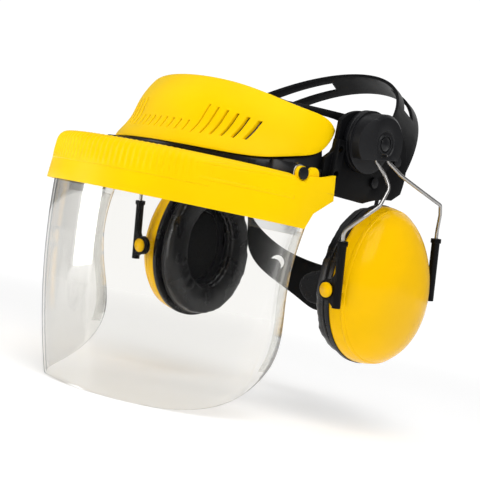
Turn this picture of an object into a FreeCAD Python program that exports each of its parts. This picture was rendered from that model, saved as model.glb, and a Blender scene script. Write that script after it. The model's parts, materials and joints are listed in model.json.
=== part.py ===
"""Brow guard with a flip-up clear visor and a pair of ear muffs on wire arms.

Millimetres, +Z up. The origin is midway between the two ear muff hubs, on the line that joins them.
+X is the wearer's left and -Y the wearer's front. The muffs hang swung back by ear_tilt about that
line, so their pieces are drawn upright and the whole body is turned about X. The right side is a
mirror image of the left.
"""
import FreeCAD, Part
import math
import os

import Sketcher

from FreeCAD import Placement, Rotation, Vector

SIZES = {
    # forehead cover and the shell behind it, as ovals about the Z axis
    "cover_low": -24.0, "cover_wide": 85.8, "cover_deep": 94.5,
    "cover_wall": 2.2, "shell_gap": 0.4, "shell_wall": 2.4,
    "lip_low": -31.0, "lip_top": -24.6, "lip_wall": 5.0, "lip_deep": 90.5,
    "slot_first": 25.0, "slot_step": 5.5, "slot_lean": 2.3, "slot_width": 1.0,
    # inner headband ring
    "band_low": 9.6, "band_tall": 4.0, "band_wide": 75.0, "band_deep": 60.0, "band_wall": 1.8,
    "brow_low": -18.0, "brow_tall": 26.5, "brow_thick": 6.0, "brow_wide": 71.5, "brow_deep": 50.0,
    "brow_centre": -8.0,
    # side plates and hubs
    "plate_inner": 80.0, "plate_thick": 3.0, "plate_hole": 2.35,
    "strip_front": -24.6, "strip_rear": -18.75, "strip_thick": 3.0, "rivet_hole": 1.6,
    "accessory_hole": 2.1, "accessory_front": -21.6, "accessory_high": -8.5, "accessory_low": -23.0,
    "base_outer": 86.1, "base_rim": 18.6, "hub_inner": 86.2, "hub_outer": 100.0, "hub_rim": 17.3,
    "hub_flat": -9.5, "rivet_shank": 2.2, "rivet_head": 4.0,
    # ear muffs, drawn upright about the hub line
    "ear_tilt": 9.05, "cup_y": 27.5, "cup_z": -87.4, "cup_half": 40.0, "cup_tall": 48.8,
    "cup_egg": 0.1, "cup_rim": 80.0, "cup_depth": 26.0, "cup_wall": 2.4,
    "plate_depth": 3.0, "cushion_depth": 11.0, "ear_hole": 20.0,
    "wire_radius": 1.15, "wire_x": 95.0, "wire_top": -5.0, "wire_front": -1.5, "wire_rear": 9.0,
    "arm_x": 91.0, "arm_y": 26.0, "arm_reach": 44.8, "sleeve_top": -58.0, "sleeve_low": -97.5,
    "sleeve_radius": 2.6, "stud_x": 84.6, "stud_z": -87.5, "stud_radius": 3.3, "ring_radius": 6.2,
    # visor
    "visor_y": -45.0, "pivot_y": -51.0, "pivot_z": -27.5, "pivot_radius": 2.0,
    "frame_low": -58.0, "frame_rim": 91.0, "frame_shoulder": 84.0, "frame_wall": 2.2,
    "opening_wide": 85.0, "opening_deep": 62.0, "ear_inner": 84.6, "ear_thick": 2.4,
    "boss_radius": 5.2, "ear_ring": 4.0, "pin_head": 3.6, "tab_y": -41.3, "tab_z": -27.2, "tab_radius": 4.4,
    "screen_top": 86.4, "screen_mid": 82.6, "screen_toe": 69.3, "screen_thick": 1.5,
    "screen_low": -173.0, "clip_inner": 86.7, "clip_thick": 1.3,
    # rear band, nape strap and ratchet
    "strap_thick": 2.2, "ratchet_z": -93.5, "pinion_pitch": 5.0, "pinion_tip": 5.9, "pinion_root": 3.7,
    "rack_gap": 2.4, "knob_radius": 12.0, "knob_depth": 9.0, "house_back": 98.2, "house_front": 107.6,
    "house_half": 22.0, "house_tall": 15.0, "shaft_radius": 2.5, "backing_rear": 88.6, "backing_thick": 1.2,
    "pad_rear": 83.5, "pad_thick": 4.5, "pad_half": 19.0, "pad_tall": 12.0,
}
RIVETS = ((34.5, -6.0), (17.0, -22.0))
PINION_TEETH = 8
KNOB_SCALLOPS = 14
LONG_SLOTS = 6
SHORT_SLOTS = 4

doc = FreeCAD.newDocument("brow_guard")
nodes = []


def make_sheet():
    sheet = doc.addObject("Spreadsheet::Sheet", "Sizes")
    for row, (word, size) in enumerate(SIZES.items(), start=1):
        sheet.set("A%d" % row, word)
        sheet.set("B%d" % row, str(size))
        sheet.setAlias("B%d" % row, word)
    doc.recompute()
    return sheet


sizes = make_sheet()


def size(word):
    return float(sizes.get(word))


def link(obj, prop, expression):
    """Bind a property to sheet cells: words of the sheet are written as @word."""
    obj.setExpression(prop, expression.replace("@", "Sizes."))


def ear_placement():
    return Placement(Vector(), Rotation(Vector(1, 0, 0), size("ear_tilt")))


def new_body(label, tilted=False):
    body = doc.addObject("PartDesign::Body", label)
    body.Label = label
    if tilted:
        body.Placement = ear_placement()
    nodes.append(body)
    return body


def new_sketch(body, plane, offset=None, shift=None):
    sketch = body.newObject("Sketcher::SketchObject", "Sketch")
    support = [part for part in body.Origin.OriginFeatures if part.Role == plane][0]
    sketch.AttachmentSupport = [(support, "")]
    sketch.MapMode = "FlatFace"
    if offset:
        link(sketch, "AttachmentOffset.Base.z", offset)
    if shift:
        link(sketch, "AttachmentOffset.Base.x", shift)
    return sketch


def draw_circle(sketch, centre, radius):
    number = sketch.addGeometry(Part.Circle(Vector(centre[0], centre[1], 0), Vector(0, 0, 1), 1.0), False)
    rule = sketch.addConstraint(Sketcher.Constraint("Radius", number, 1.0))
    link(sketch, "Constraints[%d]" % rule, radius)


def draw_outline(sketch, *runs):
    """Closed outline from runs of points: two points make a line, more make a smooth curve."""
    for run in runs:
        points = [Vector(x, y, 0) for x, y in run]
        if len(points) == 2:
            sketch.addGeometry(Part.LineSegment(points[0], points[1]), False)
        else:
            curve = Part.BSplineCurve()
            curve.interpolate(points)
            sketch.addGeometry(curve, False)


def draw_polygon(sketch, points):
    ring = list(points) + [points[0]]
    draw_outline(sketch, *[(ring[i], ring[i + 1]) for i in range(len(points))])


def draw_loop(sketch, points):
    """Smooth closed curve through points."""
    curve = Part.BSplineCurve()
    curve.interpolate([Vector(x, y, 0) for x, y in points], PeriodicFlag=True)
    sketch.addGeometry(curve, False)


def oval(wide, deep, centre=(0, 0), count=24):
    steps = [2 * math.pi * i / count for i in range(count)]
    return [(centre[0] + wide * math.cos(a), centre[1] + deep * math.sin(a)) for a in steps]


def grow(body, sketch, length, backwards=False, both=False, cut=False):
    feature = body.newObject("PartDesign::Pocket" if cut else "PartDesign::Pad", "Cut" if cut else "Pad")
    feature.Profile = sketch
    feature.Reversed = backwards
    if both:
        feature.SideType = "Symmetric"
    link(feature, "Length", length)
    return feature


def cut_across(body, sketch, length="400"):
    return grow(body, sketch, length, both=True, cut=True)


def spin(body, sketch, axis="V_Axis", angle=360, both=False, backwards=False):
    feature = body.newObject("PartDesign::Revolution", "Turn")
    feature.Profile = sketch
    feature.ReferenceAxis = (sketch, [axis])
    feature.Angle = angle
    feature.Midplane = both
    feature.Reversed = backwards
    return feature


def blend_sections(body, sketches, cut=False):
    feature = body.newObject("PartDesign::SubtractiveLoft" if cut else "PartDesign::AdditiveLoft", "Blend")
    feature.Profile = sketches[0]
    feature.Sections = sketches[1:]
    return feature


def mirror_right(source, label):
    twin = doc.addObject("Part::Mirroring", label)
    twin.Label = label
    twin.Source = source
    twin.Base = Vector(0, 0, 0)
    twin.Normal = Vector(1, 0, 0)
    nodes.append(twin)
    return twin


def shaped(label, shape, tilted=False):
    feature = doc.addObject("Part::Feature", label)
    feature.Label = label
    feature.Shape = shape
    feature.Placement = ear_placement() if tilted else Placement()
    nodes.append(feature)
    return feature


# ------------------------------------------------------------------ forehead

COVER_PROFILE = ((0, 0.0, 0.0), (6, 1.5, 2.6), (12, 3.0, 7.6), (24, 5.3, 12.8), (34, 7.2, 17.8),
                 (41, 9.3, 23.3), (47.6, 11.8, 29.8))


def brow_sections(body, low, inset):
    """Oval sketches that lean inwards with height; each profile row is rise, side and front inset."""
    sketches = []
    for rise, side, front in COVER_PROFILE:
        sketch = new_sketch(body, "XY_Plane", offset="%f" % (low + rise))
        draw_loop(sketch, oval(size("cover_wide") - side - inset, size("cover_deep") - front - inset))
        sketches.append(sketch)
    return sketches


def keep_inside(body, *runs):
    """Cut away all that lies outside a side-view outline."""
    frame = new_sketch(body, "YZ_Plane")
    draw_polygon(frame, ((-140, -80), (120, -80), (120, 60), (-140, 60)))
    draw_outline(frame, *runs)
    cut_across(body, frame)


def cut_vents(body):
    """Upright slots through the front, long ones that lean a little outboard of short ones, on both sides."""
    sketch = new_sketch(body, "XZ_Plane", offset="20")
    first, step, lean, width = (size(w) for w in ("slot_first", "slot_step", "slot_lean", "slot_width"))
    slots = []
    for i in range(SHORT_SLOTS):
        x = step * (i + 0.5)
        slots.append(((x, -16.2), (x, -9.4), width))
    for i in range(LONG_SLOTS):
        x = first + step * i
        slots.append(((x, -16.5 + 0.34 * i), (x + lean, 1.9 - 0.88 * i), width + 0.2 * i))
    for side in (1, -1):
        for (low_x, low_z), (top_x, top_z), wide in slots:
            half = side * wide / 2
            draw_polygon(sketch, ((side * low_x - half, low_z), (side * low_x + half, low_z),
                                  (side * top_x + half, top_z), (side * top_x - half, top_z)))
    grow(body, sketch, "80", cut=True, backwards=True)


def forehead_cover():
    body = new_body("forehead_cover")
    low = size("cover_low") - 2
    wall = size("cover_wall")
    blend_sections(body, brow_sections(body, low, 0))
    blend_sections(body, brow_sections(body, low, wall), cut=True)
    keep_inside(body,
                ((-100, -24), (-80, -24.2), (-64, -23.0), (-44, -18), (-29, -12), (-23, -5), (-20, 2)),
                ((-20, 2), (-23.5, 6.5), (-38, 10.5), (-54, 15), (-64, 19), (-72, 21), (-100, 21.5)),
                ((-100, 21.5), (-100, -24)))
    cut_vents(body)


def forehead_shell():
    body = new_body("forehead_shell")
    low = size("cover_low") - 2
    inset = size("cover_wall") + size("shell_gap")
    blend_sections(body, brow_sections(body, low, inset))
    blend_sections(body, brow_sections(body, low, inset + size("shell_wall")), cut=True)
    lip = new_sketch(body, "XY_Plane", offset="@lip_low")
    draw_loop(lip, oval(size("cover_wide") - 0.6, size("lip_deep")))
    wall = size("lip_wall")
    draw_loop(lip, oval(size("cover_wide") - 0.6 - wall, size("lip_deep") - wall))
    grow(body, lip, "@lip_top - @lip_low")
    keep_inside(body,
                ((-100, -31.5), (-26, -31.5)), ((-26, -31.5), (-26, 7)),
                ((-26, 7), (-38, 11.6), (-54, 15.6), (-64, 19.4), (-72, 21.3), (-100, 21.6)),
                ((-100, 21.6), (-100, -31.5)))
    cheek = new_sketch(body, "XY_Plane", offset="@lip_low")
    for side in (1, -1):
        draw_polygon(cheek, [(side * x, y) for x, y in ((66, -57), (72, -58.5), (82.8, -55.4), (83.4, -46),
                                                        (82.8, -31), (79.4, -31), (79.4, -24),
                                                        (76, -24))])
    grow(body, cheek, "8.4")
    notch = new_sketch(body, "XY_Plane")
    for side in (1, -1):
        draw_polygon(notch, [(side * x, y) for x, y in ((79.5, -30.6), (95, -30.6), (95, -10), (79.5, -10))])
    cut_across(body, notch)
    for side in (1, -1):
        boss = new_sketch(body, "YZ_Plane", offset="66 * %d" % side)
        draw_circle(boss, (size("pivot_y"), size("pivot_z")), "@boss_radius")
        grow(body, boss, "17.9", backwards=side < 0)
    bore = new_sketch(body, "YZ_Plane")
    draw_circle(bore, (size("pivot_y"), size("pivot_z")), "@pivot_radius")
    cut_across(body, bore)


def front_headband():
    """Thin band inside the shell that flares out to the side plates at both ends."""
    top, bottom = [], []
    for i in range(25):
        a = math.radians(4 + 172 * i / 24)
        y = -size("band_deep") * math.sin(a)
        flare = max(0.0, (y + 26) / 26) ** 2
        x = math.copysign(size("band_wide") * abs(math.cos(a)) + 4.6 * flare, math.cos(a))
        z = size("band_low") - 4.5 * flare
        top.append(Vector(x, y, z + size("band_tall") + 4.5 * flare))
        bottom.append(Vector(x, y, z))
    shaped("front_headband", ribbon(top, bottom, size("band_wall")))


def brow_sweatband():
    """Upright padded strip around the inside of the brow, cut off level with the temples."""
    body = new_body("brow_sweatband")
    wide, deep, thick = size("brow_wide"), size("brow_deep"), size("brow_thick")
    centre = (0, size("brow_centre"))
    strip = new_sketch(body, "XY_Plane", offset="@brow_low")
    draw_loop(strip, oval(wide, deep, centre))
    draw_loop(strip, oval(wide - thick, deep - thick, centre))
    grow(body, strip, "@brow_tall")
    trim = new_sketch(body, "YZ_Plane")
    draw_polygon(trim, ((-20, -60), (120, -60), (120, 60), (-20, 60)))
    cut_across(body, trim)


# ------------------------------------------------------------------ side plates and hubs

def side_plate_left():
    body = new_body("side_plate_left")
    face = new_sketch(body, "YZ_Plane", offset="@plate_inner")
    draw_outline(face,
                 ((-23, 8.5), (-23, -7)), ((-23, -7), (-25, -11)), ((-25, -11), (-30, -15)),
                 ((-30, -15), (-30, -33.3)), ((-30, -33.3), (-14, -34)), ((-14, -34), (-13, -35.3)),
                 ((-13, -35.3), (11, -35.6)), ((11, -35.6), (20, -32.5), (29, -30.4)),
                 ((29, -30.4), (37, -29.6)), ((37, -29.6), (44.5, -24.5)), ((44.5, -24.5), (45.5, -19)),
                 ((45.5, -19), (44, -4), (36, 9), (22, 15.5), (8, 17.2)),
                 ((8, 17.2), (-8, 16.8), (-16, 14.0), (-23, 8.5)))
    draw_circle(face, (0, 0), "@plate_hole")
    for y, z in RIVETS:
        draw_circle(face, (y, z), "@rivet_hole")
    grow(body, face, "@plate_thick")
    strip = new_sketch(body, "YZ_Plane", offset="@plate_inner + 1")
    front, rear = size("strip_front"), size("strip_rear")
    draw_polygon(strip, ((front, -30.5), (rear, -30.5), (rear, -3), (front, -3)))
    grow(body, strip, "@plate_thick + @strip_thick - 1")
    holes = new_sketch(body, "YZ_Plane")
    for height in ("accessory_high", "accessory_low"):
        draw_circle(holes, (size("accessory_front"), size(height)), "@accessory_hole")
    cut_across(body, holes)
    return body


def hub_base_left():
    """Fixed ring behind the turning hub."""
    body = new_body("hub_base_left", tilted=True)
    face = new_sketch(body, "YZ_Plane", offset="@plate_inner + @plate_thick")
    draw_circle(face, (0, 0), "@base_rim")
    draw_circle(face, (0, 0), "@plate_hole")
    grow(body, face, "@base_outer - @plate_inner - @plate_thick")
    return body


def hub_left():
    """Turning drum with a recessed centre, a flat underside, a side facet and a pocket for the wire."""
    body = new_body("hub_left", tilted=True)
    inner, outer, rim = size("hub_inner"), size("hub_outer"), size("hub_rim")
    bore = size("plate_hole")
    profile = new_sketch(body, "XY_Plane")
    draw_polygon(profile, ((inner, bore), (inner, rim + 1.3), (inner + 2.2, rim + 1.3), (inner + 2.2, rim),
                           (outer - 1.6, rim), (outer, rim - 1.8), (outer, 8), (outer - 0.7, 7.6),
                           (outer - 0.7, 6.2), (outer, 5.8), (outer, 4.9), (outer - 0.8, 4.6),
                           (outer - 0.8, bore)))
    spin(body, profile, axis="H_Axis")
    flat = new_sketch(body, "YZ_Plane", offset="@hub_inner + 2.2")
    low = size("hub_flat")
    draw_polygon(flat, ((-30, low), (30, low), (30, -30), (-30, -30)))
    grow(body, flat, "20", cut=True, backwards=True)
    facet = new_sketch(body, "XY_Plane")
    draw_polygon(facet, ((outer + 1, -6.5), (outer + 1, -30), (outer - 9, -30), (outer - 5.5, -16.0)))
    cut_across(body, facet, "80")
    pocket = new_sketch(body, "YZ_Plane", offset="@wire_x - 1.9")
    front, rear = size("wire_front") - 1.8, size("wire_rear") + 1.8
    draw_polygon(pocket, ((front, -3.2), (rear, -3.2), (rear, -30), (front, -30)))
    grow(body, pocket, "5.4", cut=True, backwards=True)
    mouth = new_sketch(body, "YZ_Plane", offset="@wire_x - 1.9")
    draw_polygon(mouth, ((front, -6.2), (rear, -6.2), (rear + 2.2, low), (rear + 2.2, -30), (front, -30)))
    grow(body, mouth, "6.3", cut=True, backwards=True)
    return body


def hub_rivet_left():
    body = new_body("hub_rivet_left", tilted=True)
    profile = new_sketch(body, "XY_Plane")
    shank, head = size("rivet_shank"), size("rivet_head")
    inner, outer = size("plate_inner") - 0.1, size("hub_outer") - 0.7
    draw_polygon(profile, ((inner - 1.4, 0), (inner - 1.4, head), (inner, head), (inner, shank),
                           (outer, shank), (outer, head), (outer + 0.6, head), (outer + 1.5, head - 1.6),
                           (outer + 1.5, 0)))
    spin(body, profile, axis="H_Axis")
    return body


# ------------------------------------------------------------------ ear muffs

def rounded_path(points, radii):
    """Wire of lines with an arc of the given radius at each inner point."""
    edges = []
    start = points[0]
    for i, radius in enumerate(radii, start=1):
        corner = points[i]
        back = (points[i - 1] - corner).normalize()
        ahead = (points[i + 1] - corner).normalize()
        half = back.getAngle(ahead) / 2
        leg = radius / math.tan(half)
        middle = (back + ahead).normalize() * (radius / math.sin(half) - radius)
        entry, leave = corner + back * leg, corner + ahead * leg
        edges.append(Part.LineSegment(start, entry).toShape())
        edges.append(Part.Arc(entry, corner + middle, leave).toShape())
        start = leave
    edges.append(Part.LineSegment(start, points[-1]).toShape())
    return Part.Wire(edges)


def arm_wire_left():
    """One spring wire: down the front leg, across inside the hub and down the rear leg."""
    x, top, arm = size("wire_x"), size("wire_top"), size("arm_x")
    front, rear = size("arm_y") - size("arm_reach"), size("arm_y") + size("arm_reach")
    first, second = size("wire_front"), size("wire_rear")
    low = size("sleeve_top") - 32
    points = [Vector(arm, front, low), Vector(arm, front, -52), Vector(99, -12.5, -43.0),
              Vector(103.6, -4, -35.5), Vector(103.6, 3.0, -25), Vector(99.5, 2.6, -18),
              Vector(x, first, -10), Vector(x, first, top), Vector(x, second, top),
              Vector(x, second, -10), Vector(99.5, 18, -18.0), Vector(102.5, 36, -27),
              Vector(100, 59, -35.5), Vector(97, 64, -42), Vector(arm, rear, -53), Vector(arm, rear, low)]
    radii = [6, 8, 6, 6, 5, 4, 1.7, 1.7, 4, 8, 12, 4, 6, 6]
    path = rounded_path(points, radii)
    direction = (points[1] - points[0]).normalize()
    section = Part.Wire(Part.Circle(points[0], direction, size("wire_radius")).toShape())
    return shaped("arm_wire_left", path.makePipeShell([section], True, True), tilted=True)


def sleeve_left(label, side):
    """Sleeve that slides on a wire leg, with a ring that carries the stud of the cup."""
    body = new_body(label, tilted=True)
    y = size("arm_y") + side * size("arm_reach")
    top, low, radius = size("sleeve_top"), size("sleeve_low"), size("sleeve_radius")
    x = size("arm_x")
    plane = new_sketch(body, "XY_Plane", offset="@sleeve_low")
    draw_circle(plane, (x, y), "@sleeve_radius")
    grow(body, plane, "@sleeve_top - @sleeve_low")
    collar = new_sketch(body, "XY_Plane", offset="@sleeve_top - 2.6")
    draw_circle(collar, (x, y), "@sleeve_radius + 0.7")
    grow(body, collar, "2.6")
    offset = "%f" % -(y + side * 2.4)
    plate = new_sketch(body, "XZ_Plane", offset=offset)
    cx, cz = size("stud_x"), size("stud_z")
    draw_circle(plate, (cx, cz), "@ring_radius")
    grow(body, plate, "3.4", backwards=side < 0)
    web = new_sketch(body, "XZ_Plane", offset=offset)
    draw_polygon(web, ((cx, cz - 5), (x, low), (x + 0.8, low + 4), (x + 0.8, cz + 14), (cx + 2, cz + 5.4)))
    grow(body, web, "3.4", backwards=side < 0)
    eye = new_sketch(body, "XZ_Plane")
    draw_circle(eye, (cx, cz), "@stud_radius + 0.08")
    cut_across(body, eye)
    bore = new_sketch(body, "XY_Plane", offset="@sleeve_top + 1")
    draw_circle(bore, (x, y), "@wire_radius + 0.1")
    grow(body, bore, "@sleeve_top - @sleeve_low - 1.5", cut=True)
    return body


def egg(inset=0.0, scale=1.0, count=28):
    steps = [2 * math.pi * i / count for i in range(count)]
    half, tall = (size("cup_half") - inset) * scale, (size("cup_tall") - inset) * scale
    return [(size("cup_y") + half * math.sin(a) * (1 - size("cup_egg") * math.cos(a)),
             size("cup_z") + tall * math.cos(a)) for a in steps]


def dome_sections(body, inset, depth, start):
    bulge = 2.5
    sketches = []
    for part in (0, 0.25, 0.5, 0.7, 0.84, 0.94, 0.99):
        sketch = new_sketch(body, "YZ_Plane", offset="%f" % (start + depth * part))
        draw_loop(sketch, egg(inset, (1 - part ** bulge) ** (1 / bulge)))
        sketches.append(sketch)
    return sketches


def cup_shell_left():
    """Domed egg-shaped cup, hollow, with a stud on its front and its rear wall."""
    body = new_body("cup_shell_left", tilted=True)
    wall, rim, depth = size("cup_wall"), size("cup_rim"), size("cup_depth")
    blend_sections(body, dome_sections(body, 0, depth, rim))
    for side in (-1, 1):
        root = size("cup_y") + side * (size("cup_half") - 1.4)
        ring = size("arm_y") + side * (size("arm_reach") + 2.6)
        shaft = new_sketch(body, "XZ_Plane", offset="%f" % -root)
        draw_circle(shaft, (size("stud_x"), size("stud_z")), "@stud_radius")
        grow(body, shaft, "%f" % abs(ring - root), backwards=side > 0)
        head = new_sketch(body, "XZ_Plane", offset="%f" % -ring)
        draw_circle(head, (size("stud_x"), size("stud_z")), "@stud_radius + 1.2")
        grow(body, head, "1.1", backwards=side > 0)
    blend_sections(body, dome_sections(body, wall, depth - wall, rim), cut=True)
    return body


def egg_ring(label, start, depth, inset, hole):
    body = new_body(label, tilted=True)
    face = new_sketch(body, "YZ_Plane", offset=start)
    draw_loop(face, egg(inset))
    draw_loop(face, oval(hole, hole * 1.35, (size("cup_y"), size("cup_z"))))
    grow(body, face, depth)
    return body


def cup_plate_left():
    return egg_ring("cup_plate_left", "@cup_rim - @plate_depth", "@plate_depth - 0.05", -0.5,
                    size("ear_hole") - 2)


def cushion_left():
    return egg_ring("cushion_left", "@cup_rim - @plate_depth - @cushion_depth", "@cushion_depth - 0.1", 2.0,
                    size("ear_hole"))


def cup_foam_left():
    body = new_body("cup_foam_left", tilted=True)
    face = new_sketch(body, "YZ_Plane", offset="@cup_rim + 0.2")
    draw_loop(face, egg(8.0))
    grow(body, face, "13")
    return body


# ------------------------------------------------------------------ visor

def frame_section(shoulder_end):
    """Wall and top flange of the visor frame, as radius and height."""
    rim, wall, low = size("frame_rim"), size("frame_wall"), size("frame_low")
    shoulder = size("frame_shoulder")
    return (((rim, low), (rim - 1.7, -36)), ((rim - 1.7, -36), (rim - 3.4, -31.2), (shoulder, -29)),
            ((shoulder, -29), (shoulder_end, -28.4)), ((shoulder_end, -28.4), (shoulder_end, -30.6)),
            ((shoulder_end, -30.6), (shoulder - 0.6, -31.1)),
            ((shoulder - 0.6, -31.1), (rim - 5.2, -32.8), (rim - 1.7 - wall, -36.4)),
            ((rim - 1.7 - wall, -36.4), (rim - wall, low)), ((rim - wall, low), (rim, low)))


def flip(runs):
    return [[(-x, y) for x, y in run] for run in runs]


def visor_frame():
    body = new_body("visor_frame")
    front = new_sketch(body, "YZ_Plane", shift="@visor_y")
    draw_outline(front, *flip(frame_section(60)))
    spin(body, front, angle=180, both=True)
    for turn in (list, flip):
        arm = new_sketch(body, "XZ_Plane", offset="-@visor_y")
        draw_outline(arm, *turn(frame_section(size("frame_shoulder") - 1)))
        grow(body, arm, "25", backwards=True)
    opening = new_sketch(body, "XY_Plane", offset="-20")
    draw_loop(opening, oval(size("opening_wide"), size("opening_deep"), (0, size("visor_y")), 48))
    grow(body, opening, "14", cut=True)
    rear = new_sketch(body, "YZ_Plane")
    draw_polygon(rear, ((-25.5, -24), (-25.5, -29), (-23, -38.7), (-38.7, -48.5), (-44.5, -58), (-44.5, -66),
                        (10, -66), (10, -24)))
    cut_across(body, rear)
    for side in (1, -1):
        wing = new_sketch(body, "YZ_Plane", offset="(@ear_inner + @ear_thick - 0.3) * %d" % side)
        draw_polygon(wing, ((-50, -38), (-50, -33.5), (-46, -28.6), (-34, -26.9), (-25.1, -24.3),
                            (-22.8, -38), (-30, -42)))
        grow(body, wing, "@frame_wall + 0.2", backwards=side < 0)
        for centre, radius in (((size("pivot_y"), size("pivot_z")), "@ear_ring"),
                               ((size("tab_y"), size("tab_z")), "@tab_radius")):
            ear = new_sketch(body, "YZ_Plane", offset="@ear_inner * %d" % side)
            draw_circle(ear, centre, radius)
            grow(body, ear, "@ear_thick", backwards=side < 0)
    pivot = (size("pivot_y"), size("pivot_z"))
    bore = new_sketch(body, "YZ_Plane")
    draw_circle(bore, pivot, "@pivot_radius + 0.06")
    cut_across(body, bore)
    relief = new_sketch(body, "YZ_Plane")
    draw_circle(relief, pivot, "@boss_radius + 0.9")
    cut_across(body, relief, "@ear_inner * 2")
    for side in (1, -1):
        seat = new_sketch(body, "YZ_Plane", offset="(@ear_inner + @ear_thick) * %d" % side)
        draw_circle(seat, pivot, "@pin_head + 0.7")
        grow(body, seat, "6", cut=True, backwards=side > 0)


def screen_section():
    top, mid, toe, low = (size(w) for w in ("screen_top", "screen_mid", "screen_toe", "screen_low"))
    thick = size("screen_thick")
    return (((top, -46), (mid, -108), (toe, low)), ((toe, low), (toe - thick, low)),
            ((toe - thick, low), (mid - thick, -108), (top - thick, -46)), ((top - thick, -46), (top, -46)))


def visor_screen():
    body = new_body("visor_screen")
    front = new_sketch(body, "YZ_Plane", shift="@visor_y")
    draw_outline(front, *flip(screen_section()))
    spin(body, front, angle=180, both=True)
    for turn in (list, flip):
        wing = new_sketch(body, "XZ_Plane", offset="-@visor_y")
        draw_outline(wing, *turn(screen_section()))
        grow(body, wing, "16", backwards=True)
    rear = new_sketch(body, "YZ_Plane")
    draw_outline(rear, ((-36, -44), (-39, -58), (-41.5, -78), (-39, -100), (-34, -118), (-32.5, -136),
                        (-40, -151), (-56, -163.5), (-76, -170.5), (-97, -172.9)),
                 ((-97, -172.9), (-97, -180)), ((-97, -180), (0, -180)), ((0, -180), (0, -44)),
                 ((0, -44), (-36, -44)))
    cut_across(body, rear)


def screen_clip_left():
    """Clear bar that traps the top edge of the screen against the frame near its rear corner."""
    body = new_body("screen_clip_left")
    inner, thick = size("clip_inner"), size("clip_thick")
    section = new_sketch(body, "XZ_Plane", offset="-@visor_y")
    draw_polygon(section, ((inner, -62.5), (inner + thick, -62.5), (inner + thick, -54), (inner, -54)))
    spin(body, section, angle=23, backwards=True)
    return body


def visor_pin_left():
    """Pivot pin fixed in the shell boss, with a round head outside the frame's ear."""
    body = new_body("visor_pin_left")
    spine = new_sketch(body, "YZ_Plane", offset="72")
    centre = (size("pivot_y"), size("pivot_z"))
    draw_circle(spine, centre, "@pivot_radius - 0.02")
    grow(body, spine, "@ear_inner + @ear_thick - 71.8")
    head = new_sketch(body, "YZ_Plane", offset="@ear_inner + @ear_thick + 0.15")
    draw_circle(head, centre, "@pin_head")
    grow(body, head, "1.2")
    return body


def friction_washers():
    """Spring washers that hold the visor at any angle, one on each pivot."""
    body = new_body("friction_washers")
    for side in (1, -1):
        face = new_sketch(body, "YZ_Plane", offset="%f" % (side * 84.0))
        centre = (size("pivot_y"), size("pivot_z"))
        draw_circle(face, centre, "@boss_radius - 0.4")
        draw_circle(face, centre, "@pivot_radius + 0.06")
        grow(body, face, "0.5", backwards=side < 0)


# ------------------------------------------------------------------ rear band, nape strap and ratchet

def ribbon(lower, upper, thick, back=0.0):
    """Strap between two edges, each a list of points, from back behind them to thick in front."""
    count = len(lower)
    sections = []
    for i in range(count):
        ahead, behind = min(i + 1, count - 1), max(i - 1, 0)
        along = (lower[ahead] + upper[ahead] - lower[behind] - upper[behind]).normalize()
        out = (upper[i] - lower[i]).normalize().cross(along).normalize()
        low, high = lower[i] - out * back, upper[i] - out * back
        depth = out * (thick + back)
        sections.append(Part.makePolygon([low, high, high + depth, low + depth, low]))
    return Part.makeLoft(sections, True, False)


def band_edges(first, last, count, low_share=0.0, high_share=1.0):
    """Edges of the rear band between two angles; a share is the part of the width from the lower edge."""
    lower, upper = [], []
    for i in range(count):
        a = math.radians(first + (last - first) * i / (count - 1))
        c, s = math.cos(a), math.sin(a)
        high = Vector(77.2 * c, 0.4 + 84.1 * s, -15 + 71.6 * s - 1.8 * s * s)
        low = Vector(83.1 * c, 25.7 + 76.5 * s, -42.7 + 98.8 * s - 9.4 * s * s)
        lower.append(low + (high - low) * low_share)
        upper.append(low + (high - low) * high_share)
    return lower, upper


def rear_band():
    """Wide strap over the back of the head, with a long window on each side."""
    thick = size("strap_thick")
    lower, upper = band_edges(12, 168, 17)
    band = ribbon(lower, upper, thick)
    for first, last in ((44, 70), (110, 136)):
        low, high = band_edges(first, last, 7, 0.3, 0.72)
        band = band.cut(ribbon(low, high, thick + 2, 2))
    for side in (1, -1):
        inner = size("plate_inner") - 0.15
        band = band.cut(Part.makeBox(30, 82, 90, Vector(inner if side > 0 else -inner - 30, -36, -66)))
        band = band.cut(Part.makeBox(30, 72, 57, Vector(60 if side > 0 else -90, -36, -66)))
    for rivet in rivet_bores():
        band = band.cut(rivet)
    shaped("rear_band", band)


def rivet_bores():
    return [Part.makeCylinder(size("rivet_hole"), 240, Vector(-120, y, z), Vector(1, 0, 0)) for y, z in RIVETS]


def band_rivets_left():
    """Rivets that fix the rear band and the nape strap to the side plate."""
    body = new_body("band_rivets_left")
    outer = "@plate_inner + @plate_thick"
    for y, z in RIVETS:
        shank = new_sketch(body, "YZ_Plane", offset="@plate_inner - 4.5")
        draw_circle(shank, (y, z), "@rivet_hole - 0.05")
        grow(body, shank, "@plate_thick + 5")
        head = new_sketch(body, "YZ_Plane", offset=outer + " + 0.05")
        draw_circle(head, (y, z), "@rivet_hole + 1.5")
        grow(body, head, "1.1")
    return body


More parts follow.
